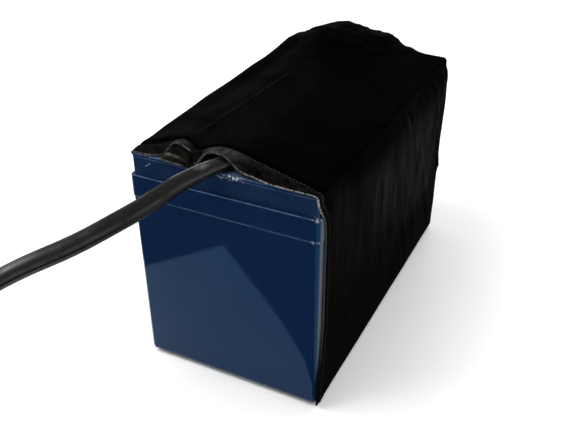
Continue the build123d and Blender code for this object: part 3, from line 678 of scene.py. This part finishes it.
class Material:
    """A node material with short calls for the nodes that repeat; its base colour is built up."""

    def __init__(self, name, base, roughness=0.5, **constants):
        self.material = bpy.data.materials.new(name)
        self.material.use_nodes = True
        self.tree = self.material.node_tree
        self.shader = self.tree.nodes["Principled BSDF"]
        self.shader.inputs["Base Color"].default_value = (*base, 1.0)
        self.shader.inputs["Roughness"].default_value = roughness
        for key, value in constants.items():
            self.shader.inputs[key.replace("_", " ")].default_value = value
        coordinates = self.tree.nodes.new("ShaderNodeTexCoord").outputs
        self.place, self.outward = coordinates["Object"], coordinates["Normal"]
        self.x, self.y, self.z = self.parts_of(self.place)
        self.base = base

    def node(self, kind, **values):
        made = self.tree.nodes.new(kind)
        for key, value in values.items():
            if key in made.inputs.keys():
                made.inputs[key].default_value = value
            else:
                setattr(made, key, value)
        return made

    def link(self, source, target):
        self.tree.links.new(source, target)

    def set(self, key, source):
        self.link(source, self.shader.inputs[key])

    def parts_of(self, vector):
        """The three parts of a vector; those of the place are in metres."""
        made = self.node("ShaderNodeSeparateXYZ")
        self.link(vector, made.inputs["Vector"])
        return made.outputs

    def noise(self, scale, detail=3.0, stretch=None, roughness=0.5):
        """Noise from 0 to 1; stretch squeezes it along the axes."""
        made = self.node("ShaderNodeTexNoise", Scale=scale, Detail=detail, Roughness=roughness)
        if stretch:
            mapping = self.node("ShaderNodeMapping", Scale=stretch)
            self.link(self.place, mapping.inputs["Vector"])
            self.link(mapping.outputs["Vector"], made.inputs["Vector"])
        else:
            self.link(self.place, made.inputs["Vector"])
        return made.outputs["Fac"]

    def ramp(self, source, low, high, start=0.0, stop=1.0):
        """source from low to high becomes start to stop."""
        made = self.node("ShaderNodeMapRange")
        for key, value in (("From Min", low), ("From Max", high), ("To Min", start), ("To Max", stop)):
            made.inputs[key].default_value = value
        self.link(source, made.inputs["Value"])
        return made.outputs["Result"]

    def math(self, operation, first, second=None):
        made = self.node("ShaderNodeMath", operation=operation)
        for socket, value in zip(made.inputs, (first, second)):
            if isinstance(value, (int, float)):
                socket.default_value = value
            elif value is not None:
                self.link(value, socket)
        return made.outputs["Value"]

    def times(self, first, *others):
        """The product of several numbers."""
        for other in others:
            first = self.math("MULTIPLY", first, other)
        return first

    def most(self, first, *others):
        """The largest of several numbers."""
        for other in others:
            first = self.math("MAXIMUM", first, other)
        return first

    def window(self, source, low, full, fade, high):
        """1 while source is between full and fade, and 0 outside low to high."""
        return self.times(self.ramp(source, low, full), self.ramp(source, fade, high, 1.0, 0.0))

    def near(self, source, reach, full=0.0, level=1.0):
        """level while source is within full of 0, and 0 past reach."""
        return self.ramp(self.math("ABSOLUTE", source), full, reach, level, 0.0)

    def off_line(self, source, along, slope, through):
        """How far source is off the line of that slope over along, through (along, source)."""
        level = self.math("SUBTRACT", source, through[1] - slope * through[0])
        return self.math("ADD", level, self.math("MULTIPLY", along, -slope))

    def mix(self, factor, first, second):
        """A colour mix; first and second are colours or colour sockets."""
        made = self.node("ShaderNodeMix", data_type="RGBA")
        self.link(factor, made.inputs["Factor"])
        for socket, value in ((made.inputs[6], first), (made.inputs[7], second)):
            if isinstance(value, tuple):
                socket.default_value = (*value, 1.0)
            else:
                self.link(value, socket)
        return made.outputs[2]

    def paint(self, factor, over):
        """Lay a colour over the base by factor."""
        self.base = self.mix(factor, self.base, over)

    def bump(self, height, strength, distance):
        made = self.node("ShaderNodeBump", Strength=strength, Distance=distance)
        self.link(height, made.inputs["Height"])
        self.set("Normal", made.outputs["Normal"])

    def done(self):
        """The finished material, with the base as its colour."""
        self.set("Base Color", self.base)
        return self.material


# ---- the case
SCRATCHES = (  # X and Z where each starts, its slope and its reach along X
    ((-0.0711, 0.1999), 0.71, 0.0062),
    ((-0.0684, 0.2095), 0.94, 0.0034),
    ((-0.0662, 0.2083), 0.80, 0.0022),
)


def rim_wear_and_highlights(m):
    """The lid's top edge and both steps, painted pale: part rubbed wear, part painted highlight;
    returns that mask.
    """
    outer = m.most(
        m.ramp(m.y, front_y + 0.0012, front_y + 0.0005),
        m.ramp(m.math("ABSOLUTE", m.x), half_width - 0.0012, half_width - 0.0005),
    )
    rims = []
    for height, reach in ((lid_z, 0.0006), (lid_z - 0.0026, 0.0004), (upper_step, 0.0007),
                          (lower_step, 0.0011)):
        rim = m.near(m.math("SUBTRACT", m.z, height - 0.0002), reach)
        # on the upper step only the outer edge is painted pale, and not the ledge behind it
        rims.append(m.times(rim, outer) if height == upper_step else rim)
    wear_and_highlight = m.times(m.most(*rims), m.ramp(m.noise(90, 5, roughness=0.6), 0.3, 0.6, 0.25, 0.8))
    # paint the rims pale: rubbed wear with a painted highlight along each edge
    m.paint(wear_and_highlight, (0.075, 0.12, 0.20))
    return wear_and_highlight


def front_marks(m):
    """Chalky, crumbly bits at the cable, painted glints at the steps' right ends, and scratches;
    returns the bits and the glints.
    """
    in_front = m.ramp(m.y, front_y + 0.006, front_y + 0.003)
    crumbs_and_glints = m.times(
        m.window(m.x, -0.004, 0.001, 0.014, 0.022),
        m.window(m.z, lid_z - 0.0045, lid_z - 0.0025, lid_z - 0.0006, lid_z + 0.0004),
    )
    # painted glints where each step line turns round the right-hand corner
    for step in (upper_step, lower_step):
        corner = m.times(
            m.ramp(m.x, half_width - 0.009, half_width - 0.004, 0.0, 0.8),
            m.window(m.z, step - 0.0024, step - 0.0006, step + 0.0002, step + 0.0022),
        )
        crumbs_and_glints = m.most(crumbs_and_glints, corner)
    crumbs_and_glints = m.times(crumbs_and_glints, in_front, m.ramp(m.noise(420, 3, roughness=0.7), 0.52, 0.60))
    # chalky bits at the cable, and painted glints at the steps' right ends
    m.paint(crumbs_and_glints, (0.42, 0.44, 0.47))
    for start, slope, reach in SCRATCHES:
        first, last = start[0], start[0] + reach
        scratch = m.near(m.off_line(m.z, m.x, slope, start), 0.0006, 0.0001, 0.8)
        span = m.window(m.x, first, first + 0.0006, last - 0.0008, last)
        m.paint(m.times(scratch, span, in_front), (0.20, 0.24, 0.30))
    return crumbs_and_glints


def case_material():
    """Navy moulded plastic: glossy, faintly rippled, paler along its edges from wear and painted
    highlights, with painted glints.
    """
    m = Material("case_plastic", (0.0035, 0.013, 0.042), 0.08, IOR=1.38,
                 Specular_Tint=(0.03, 0.45, 1.0, 1.0))
    m.base = m.mix(m.ramp(m.noise(9, 4), 0.3, 0.7),
                   (0.0026, 0.0105, 0.036), (0.0036, 0.0130, 0.043))
    # the upper band is handled most, and is paler in patches
    handled = m.times(m.ramp(m.z, upper_step - 0.0005, upper_step + 0.0005),
                      m.ramp(m.noise(46, 6, (1, 1, 1.6), 0.65), 0.34, 0.70, 0.1, 0.75))
    m.paint(handled, (0.0105, 0.0225, 0.052))
    wear_and_highlight = rim_wear_and_highlights(m)
    # painted glints: small pale specks all over the case
    m.paint(m.ramp(m.noise(900, 2), 0.74, 0.80), (0.05, 0.075, 0.12))
    crumbs_and_glints = front_marks(m)
    # the sides are grey near the front, where the hem lies
    sideways = m.parts_of(m.outward)["X"]
    rubbed = m.times(m.ramp(m.math("ABSOLUTE", sideways), 0.80, 0.97),
                     m.ramp(m.y, front_y + 0.030, front_y + 0.014),
                     m.ramp(m.z, 0.03, 0.09, 0.35, 1.0))
    m.paint(rubbed, (0.056, 0.060, 0.066))
    scuffs = m.ramp(m.noise(60, 6, (1, 1, 6), 0.65), 0.45, 0.75, 0.05, 0.12)
    rough = m.math("ADD", scuffs, m.times(m.most(wear_and_highlight, crumbs_and_glints), 0.3))
    m.set("Roughness", m.math("ADD", rough, m.times(rubbed, 0.45)))
    m.bump(m.noise(30, 2), 0.05, 0.0004)
    return m.done()


# ---- the sleeve: its cloth, hem, lining, cut edge and thread
CREASE_HIGHLIGHTS = (  # Y and Z of a point on each, its lowest and highest Z, and how bright its painted highlight is
    (0.030, 0.183, 0.166, 0.200, 0.85),
    (0.118, 0.188, 0.158, 0.206, 0.45),
)
CREASE_SLOPE = -0.56  # Y over Z


def side_sheen(m):
    """Painted sheen on both sides, in patches of upright streaks over a slanted lower limit, and
    painted highlights along creases.
    """
    slant = m.math("ADD", m.z, m.times(m.y, 0.3))
    patch = m.times(m.window(m.y, -0.10, -0.04, 0.11, 0.15), m.ramp(slant, 0.075, 0.118),
                    m.ramp(m.z, 0.158, 0.186, 1.0, 0.0))
    faint_sheen = m.times(m.window(m.y, -0.172, -0.150, 0.0, 0.03),
                   m.window(slant, 0.045, 0.085, 0.150, 0.172), 0.30)
    on_sides = m.ramp(m.math("ABSOLUTE", m.x), 0.080, 0.084)
    streaks = m.ramp(m.noise(34, 5, (1, 2.4, 0.42), 0.62), 0.38, 0.68, 0.06, 1.0)
    painted_sheen = m.times(m.most(patch, faint_sheen), on_sides, streaks)
    # painted highlights along slanted creases near the top of the right side
    for crease_y, crease_z, low, high, level in CREASE_HIGHLIGHTS:
        off = m.off_line(m.y, m.z, CREASE_SLOPE, (crease_z, crease_y))
        crease = m.times(m.near(off, 0.0020, 0.0004, level),
                         m.window(m.z, low, low + 0.008, high - 0.010, high),
                         m.ramp(m.x, 0.080, 0.084))
        painted_sheen = m.most(painted_sheen, crease)
    return painted_sheen


def shoulder_sheen(m):
    """Painted highlights in streaks on the shoulder of the slack at the rear."""
    shoulder = m.times(m.window(m.y, 0.11, 0.15, 0.19, 0.20), m.ramp(m.x, -0.03, -0.055),
                       m.ramp(m.z, lid_z - 0.004, lid_z + 0.003))
    sheen_streaks = m.ramp(m.noise(44, 5, (0.5, 1.3, 1), 0.65), 0.50, 0.72)
    return m.math("MINIMUM", m.times(shoulder, sheen_streaks, 1.4), 1.0)


def top_sheen_and_fold_light(m):
    """The top's left half with a dull olive-grey painted sheen, and a long fold with a painted
    highlight along its crest and painted shade beside it.
    """
    over_lid = m.ramp(m.z, lid_z - 0.004, lid_z)
    reach = m.math("ADD", m.x, m.times(m.most(m.y, 0.0), 0.45))
    reach = m.math("ADD", reach, m.times(m.noise(30, 4, roughness=0.6), 0.02))
    blotches = m.ramp(m.noise(26, 5, (1, 0.7, 1), 0.6), 0.34, 0.70)
    # painted sheen over the top's left half, in blotches
    m.paint(m.times(over_lid, m.ramp(reach, 0.026, 0.006)), m.mix(
        blotches, (0.0003, 0.0003, 0.0002), (0.0015, 0.0015, 0.0011)))
    start, stop = FOLD_Y[0] * MM, FOLD_Y[1] * MM
    off = m.off_line(m.x, m.y, FOLD_SLOPE, (start, FOLD_X * MM))
    along = m.times(over_lid, m.window(m.y, start - 0.008, start + 0.008, stop - 0.020, stop))
    # painted shade beside the fold
    m.paint(m.times(along, m.window(off, -0.0034, -0.0022, -0.0014, -0.0006)), grey(0.0002))
    # painted highlight along the fold's crest
    m.paint(m.times(along, m.window(off, -0.0009, -0.0001, 0.0004, 0.0014),
                    m.ramp(m.noise(80, 4), 0.35, 0.6, 0.35, 0.9)), (0.0056, 0.0054, 0.0045))


def cloth_material():
    """Black sleeve cloth: fine twill with lint, with painted light: sides lighter than the top,
    painted sheen on the sides, the rear shoulder and the top's left half, and a painted highlight and
    shade along a fold.
    """
    m = Material("sleeve_cloth", grey(0.0001), 0.62, Sheen_Weight=0.001, Sheen_Roughness=0.35,
                 Specular_IOR_Level=0.001)
    tone = m.ramp(m.noise(14, 5, (1, 0.5, 1)), 0.35, 0.7)
    low_down = m.ramp(m.z, lid_z - 0.004, lid_z - 0.022)
    m.base = m.mix(tone, grey(0.0001), grey(0.0005))
    # painted light: below the lid's top the cloth is lighter than on the top
    m.paint(low_down, m.mix(
        tone, (0.0009, 0.0009, 0.0008), (0.00135, 0.00135, 0.0012)))
    # painted light: the left side and the closed end are painted lighter than the rest
    flank = m.most(m.ramp(m.x, -0.0830, -0.0855), m.ramp(m.y, rear_y, rear_y + 0.003))
    m.paint(m.times(flank, low_down), m.mix(
        tone, (0.0046, 0.0045, 0.0043), (0.0092, 0.0090, 0.0085)))
    top_sheen_and_fold_light(m)
    # painted sheen on the sides and on the rear shoulder
    m.paint(m.most(side_sheen(m), shoulder_sheen(m)), (0.0122, 0.011834, 0.011346))
    m.paint(m.ramp(m.noise(620, 2), 0.76, 0.84), (0.012, 0.0115, 0.011))
    m.set("Roughness", m.ramp(m.noise(22, 4), 0.3, 0.75, 0.54, 0.72))
    bands = []
    for direction in ("DIAGONAL", "Z"):
        wave = m.node("ShaderNodeTexWave", Scale=420.0, Distortion=0.6, Detail=1.0)
        wave.bands_direction = direction
        m.link(m.place, wave.inputs["Vector"])
        bands.append(wave.outputs["Fac"])
    m.bump(m.times(*bands), 0.35, 0.00012)
    return m.done()


def weave_bump(m):
    """Crossed threads of a plain weave, with a little crumple under them."""
    threads = m.times(m.noise(900, 2, (1, 0.35, 0.35)), m.noise(900, 2, (0.35, 1, 1)))
    m.bump(m.math("ADD", threads, m.times(m.noise(70, 4), 3.0)), 0.4, 0.0006)


def tape_material():
    """The doubled hem: crumpled and mottled, and rubbed grey over the cable and the left arch."""
    m = Material("hem_tape", (0.004, 0.004, 0.0035), 0.72, Specular_IOR_Level=0.001)
    mottle = m.ramp(m.noise(95, 6, (1, 1, 1), 0.68), 0.38, 0.66)
    m.base = m.mix(mottle, (0.0011, 0.0010, 0.0009), (0.0078, 0.0074, 0.0067))
    over_cable = m.times(m.window(m.x, -0.025, -0.019, 0.004, 0.026),
                         m.ramp(m.z, lid_z + 0.0092, lid_z + 0.0125))
    left_arch = m.times(m.window(m.x, -0.058, -0.050, -0.042, -0.026),
                        m.ramp(m.z, lid_z + 0.009, lid_z + 0.012))
    crown = m.times(m.most(over_cable, left_arch),
                    m.ramp(m.noise(210, 5, roughness=0.65), 0.36, 0.62, 0.15, 1.0))
    m.paint(crown, (0.030, 0.029, 0.027))
    m.paint(m.ramp(m.z, lid_z - 0.004, lid_z - 0.022), m.mix(
        mottle, (0.0009, 0.0009, 0.0008), (0.0028, 0.0027, 0.0025)))
    m.set("Roughness", m.ramp(m.noise(40, 4), 0.3, 0.75, 0.62, 0.82))
    weave_bump(m)
    return m.done()


def lining_material():
    """The facing inside the mouth: faded, with a painted highlight along a fold that dies out at both
    ends.
    """
    m = Material("lining", (0.008, 0.0075, 0.0065), 0.75, Specular_IOR_Level=0.001)
    mottle = m.ramp(m.noise(110, 6, (1, 1, 1), 0.68), 0.36, 0.66)
    m.base = m.mix(mottle, (0.0014, 0.0013, 0.0011), (0.0082, 0.0075, 0.0062))
    crest = front_y + (FACING_BACK * FOLD_AT - 0.8) * MM
    # painted highlight along the fold's crest
    fold = m.times(m.window(m.x, -0.060, -0.050, -0.044, -0.030),
                   m.window(m.y, crest - 0.0014, crest - 0.0004, crest + 0.0002, crest + 0.0010),
                   m.ramp(m.noise(260, 4, roughness=0.6), 0.34, 0.6, 0.2, 1.0))
    m.paint(fold, (0.060, 0.058, 0.053))
    weave_bump(m)
    return m.done()


def edge_material():
    """The hem's cut and folded edge: rubbed pale along the top, dark down the sides, with painted
    shade where it lies in the gap between the arches.
    """
    m = Material("hem_edge", grey(0.03), 0.8, Specular_IOR_Level=0.001)
    dark = (0.003, 0.0029, 0.0028)
    rubbed = m.ramp(m.noise(330, 4, roughness=0.7), 0.38, 0.62)
    frayed = m.mix(m.ramp(m.x, 0.012, 0.035), (0.075, 0.073, 0.07), (0.26, 0.26, 0.255))
    pale = m.mix(rubbed, (0.009, 0.0085, 0.008), frayed)
    # painted shade where the edge lies in the gap between the two arches
    gap_shade = m.window(m.x, -0.034, -0.030, -0.0250, -0.0235)
    greyed = m.times(m.ramp(m.x, 0.080, 0.084), m.ramp(m.z, 0.04, 0.09))
    m.base = m.mix(greyed, dark, (0.040, 0.042, 0.046))
    m.paint(m.ramp(m.z, lid_z - 0.022, lid_z - 0.008), m.mix(gap_shade, pale, dark))
    m.bump(m.noise(900, 2), 0.3, 0.0003)
    return m.done()


def thread_material():
    """Hem stitches: grey thread, paler on the top right of the cable than down the sides, and darkest
    to its left.
    """
    m = Material("thread", grey(0.02), 0.7, Specular_IOR_Level=0.02)
    tone = m.ramp(m.noise(240, 4), 0.3, 0.7)
    paler_top = m.mix(tone, (0.017, 0.016, 0.014), (0.038, 0.036, 0.032))
    dull = m.mix(tone, (0.008, 0.008, 0.007), (0.020, 0.019, 0.017))
    m.base = m.mix(tone, (0.0020, 0.0019, 0.0017), (0.0060, 0.0057, 0.0052))
    m.paint(m.ramp(m.x, -0.014, 0.020),
            m.mix(m.ramp(m.z, lid_z - 0.006, lid_z - 0.020), paler_top, dull))
    m.bump(m.noise(900, 2), 0.3, 0.0002)
    return m.done()


# ---- the cable, and what is plain moulded or metal
def jacket_material():
    """Black flexible PVC: fairly glossy, with painted highlights along its ridges, and dust with a
    painted gleam where it comes out.
    """
    m = Material("cable_jacket", grey(0.005), 0.22, Specular_IOR_Level=0.14)
    tone = m.ramp(m.noise(30, 5), 0.3, 0.75)
    m.base = m.mix(tone, grey(0.0024), (0.0048, 0.0047, 0.0046))
    ridge = m.node("ShaderNodeAttribute", attribute_name="ridge").outputs["Fac"]
    # painted highlight along the two upper ridges
    m.paint(m.times(ridge, m.ramp(m.noise(70, 5, roughness=0.7), 0.34, 0.66, 0.1, 1.0)),
            grey(0.034))
    # dust with a painted gleam on the cable just in front of the case
    dust_and_gleam = m.times(
        m.window(m.x, -0.024, -0.018, -0.010, -0.004),
        m.window(m.y, front_y - 0.016, front_y - 0.011, front_y - 0.004, front_y + 0.004),
        m.ramp(m.noise(170, 4, roughness=0.6), 0.44, 0.68),
    )
    m.paint(dust_and_gleam, (0.070, 0.070, 0.068))
    rough = m.ramp(m.noise(55, 5), 0.3, 0.75, 0.15, 0.34)
    m.set("Roughness", m.math("ADD", rough, m.times(dust_and_gleam, 0.4)))
    m.bump(m.noise(180, 3), 0.05, 0.0004)
    return m.done()


def plastic_material(name, dark, light, roughness, grain=0.08, scale=300.0):
    """Moulded plastic or rubber with a fine grain and slight handling marks."""
    m = Material(name, dark, roughness)
    m.base = m.mix(m.ramp(m.noise(30, 5), 0.3, 0.75), dark, light)
    m.set("Roughness", m.ramp(m.noise(55, 5), 0.3, 0.75, roughness - 0.07, roughness + 0.12))
    m.bump(m.noise(scale, 3), grain, 0.0004)
    return m.done()


def metal_material(name, dark, light, roughness):
    """Bare or plated metal with tarnish in patches and fine scratches."""
    m = Material(name, dark, roughness, Metallic=1.0)
    m.base = m.mix(m.ramp(m.noise(70, 6), 0.35, 0.7), dark, light)
    m.set("Roughness", m.ramp(m.noise(180, 5), 0.3, 0.7, roughness - 0.1, roughness + 0.15))
    m.bump(m.noise(260, 4), 0.1, 0.0002)
    return m.done()


PLASTICS = (  # slot, dark and light colour, roughness, and for a coarse one its grain and scale
    ("vent_rubber", grey(0.010), grey(0.02), 0.62),
    ("black_sleeve", grey(0.009), grey(0.016), 0.42),
    ("red_sleeve", (0.30, 0.012, 0.008), (0.38, 0.02, 0.012), 0.40),
    ("connector_shell", (0.022, 0.022, 0.024), (0.034, 0.034, 0.036), 0.5, 0.2, 500.0),
    ("brown_paste", (0.045, 0.016, 0.010), (0.075, 0.030, 0.018), 0.85, 0.5, 900.0),
    ("glass_mat", (0.62, 0.62, 0.58), (0.75, 0.75, 0.72), 0.9, 0.5, 1500.0),
)
METALS = (  # slot, dark and light colour, roughness
    ("grey_lead", (0.14, 0.145, 0.155), (0.24, 0.245, 0.25), 0.5),
    ("terminal_brass", (0.55, 0.36, 0.13), (0.70, 0.50, 0.22), 0.32),
    ("plated_steel", (0.48, 0.48, 0.47), (0.62, 0.61, 0.58), 0.30),
    ("tinned_copper", (0.55, 0.54, 0.52), (0.68, 0.66, 0.62), 0.28),
    ("silvered_contact", (0.62, 0.61, 0.58), (0.78, 0.76, 0.72), 0.22),
    ("spring_steel", grey(0.36), (0.48, 0.48, 0.47), 0.28),
)
by_slot = {row[0]: plastic_material(*row) for row in PLASTICS}
by_slot.update({row[0]: metal_material(*row) for row in METALS})
by_slot["red_lead_jacket"] = by_slot["red_sleeve"]
by_slot["black_lead_jacket"] = by_slot["black_sleeve"]
by_slot["case_plastic"] = case_material()
by_slot["sleeve_cloth"] = cloth_material()
by_slot["cable_jacket"] = jacket_material()
hem_edge = edge_material()

SHARP_FROM = math.radians(32)
for subpart in frame["record"]["subparts"]:
    mesh = nodes[subpart["node"]].data
    mesh.materials.clear()
    mesh.materials.append(by_slot[subpart["material_slot"]])
    mesh.shade_smooth()
    mesh.set_sharp_from_angle(angle=SHARP_FROM)
for piece in (output_cable, lid_cable):
    piece.data.materials.append(by_slot["cable_jacket"])
stitches.data.materials.append(thread_material())
sleeve.data.materials[CLOTH_SLOT] = by_slot["sleeve_cloth"]
sleeve.data.materials[TAPE_SLOT] = tape_material()
sleeve.data.materials[EDGE_SLOT] = hem_edge
facing.data.materials[LINING_SLOT] = lining_material()
facing.data.materials[RIM_SLOT] = hem_edge

# ---------------------------------------------------------------- floor and light
FLOOR_REACH = 9.0
CARD_HEIGHT = 0.0004


def flat_plate(name, outline, height, faces=((0, 1, 2, 3),)):
    """A level plate for the stage, from the X and Y of its corners."""
    return add_mesh(name, [(x, y, height) for x, y in outline], faces, smooth=False)


def stage_material(name, dark, light, roughness, scale):
    """A nearly even grey for the stage; its own colour is half way."""
    m = Material(name, grey((dark + light) / 2), roughness)
    m.base = m.mix(m.noise(scale, 2), grey(dark), grey(light))
    return m.done()


floor = flat_plate(
    "floor", [(sx * FLOOR_REACH, sy * FLOOR_REACH) for sx, sy in ((-1, -1), (1, -1), (1, 1), (-1, 1))],
    0.0,
)
floor.data.materials.append(stage_material("floor", 0.85, 0.88, 0.8, 1.2))
# a dark card that only reflections see lies in front of the case, with a gap that stays lit
LIT_EDGE = [
    (0.083, -0.1825), (0.0748, -0.1935), (0.051, -0.2253), (0.0045, -0.2676), (-0.0551, -0.3136),
    (-0.1155, -0.3587), (-0.1742, -0.2834), (-0.215, -0.231),
]
CARD_EDGE = [(-0.46, -0.44), (-0.46, -0.78), (0.02, -0.78), (0.105, -0.19)]
CARD_FACES = [(0, 1, 2, 3, 4, 10, 11), (4, 5, 9, 10), (5, 6, 7, 8, 9)]
# another lies to the left, and keeps the cable's upper face dark
LEFT_CARD = [(-1.1, -0.3), (-0.24, -0.3), (-0.24, 0.1), (-1.1, 0.1)]
cards = [
    flat_plate("front_card", LIT_EDGE + CARD_EDGE, CARD_HEIGHT, CARD_FACES),
    flat_plate("left_card", LEFT_CARD, CARD_HEIGHT),
]
card_look = stage_material("card", 0.018, 0.024, 0.9, 3)
for card in cards:
    card.data.materials.append(card_look)
    for ray in ("camera", "diffuse", "shadow", "transmission"):
        setattr(card, f"visible_{ray}", False)
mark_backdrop(floor, *cards)


MIDDLE = Vector((0.0, 0.0, 0.1))


def area_light(name, place, size, power, tall=None):
    """A soft rectangular light aimed at the middle of the pack."""
    data = bpy.data.lights.new(name, "AREA")
    data.shape = "RECTANGLE"
    data.size = size
    data.size_y = tall or size
    data.energy = power
    lamp = bpy.data.objects.new(name, data)
    scene.collection.objects.link(lamp)
    lamp.location = place
    lamp.rotation_euler = (MIDDLE - Vector(place)).to_track_quat("-Z", "Y").to_euler()
    return lamp


key = area_light("key", (-0.9, -0.5, 1.6), 1.2, 26)
key.visible_glossy = False
area_light("back", (0.2, 1.7, 1.3), 1.4, 16, 0.7)
area_light("right", (1.6, -0.28, 1.0), 0.6, 10)
area_light("left", (-1.7, -0.55, 0.8), 0.4, 5.5)
glint = area_light("glint", (-1.28, 1.28, 0.75), 0.6, 9)
glint.visible_diffuse = False

world = bpy.data.worlds.new("studio")
scene.world = world
world.use_nodes = True
background = world.node_tree.nodes["Background"]
background.inputs["Color"].default_value = (1.0, 1.0, 1.0, 1.0)
background.inputs["Strength"].default_value = 0.75

low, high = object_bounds()
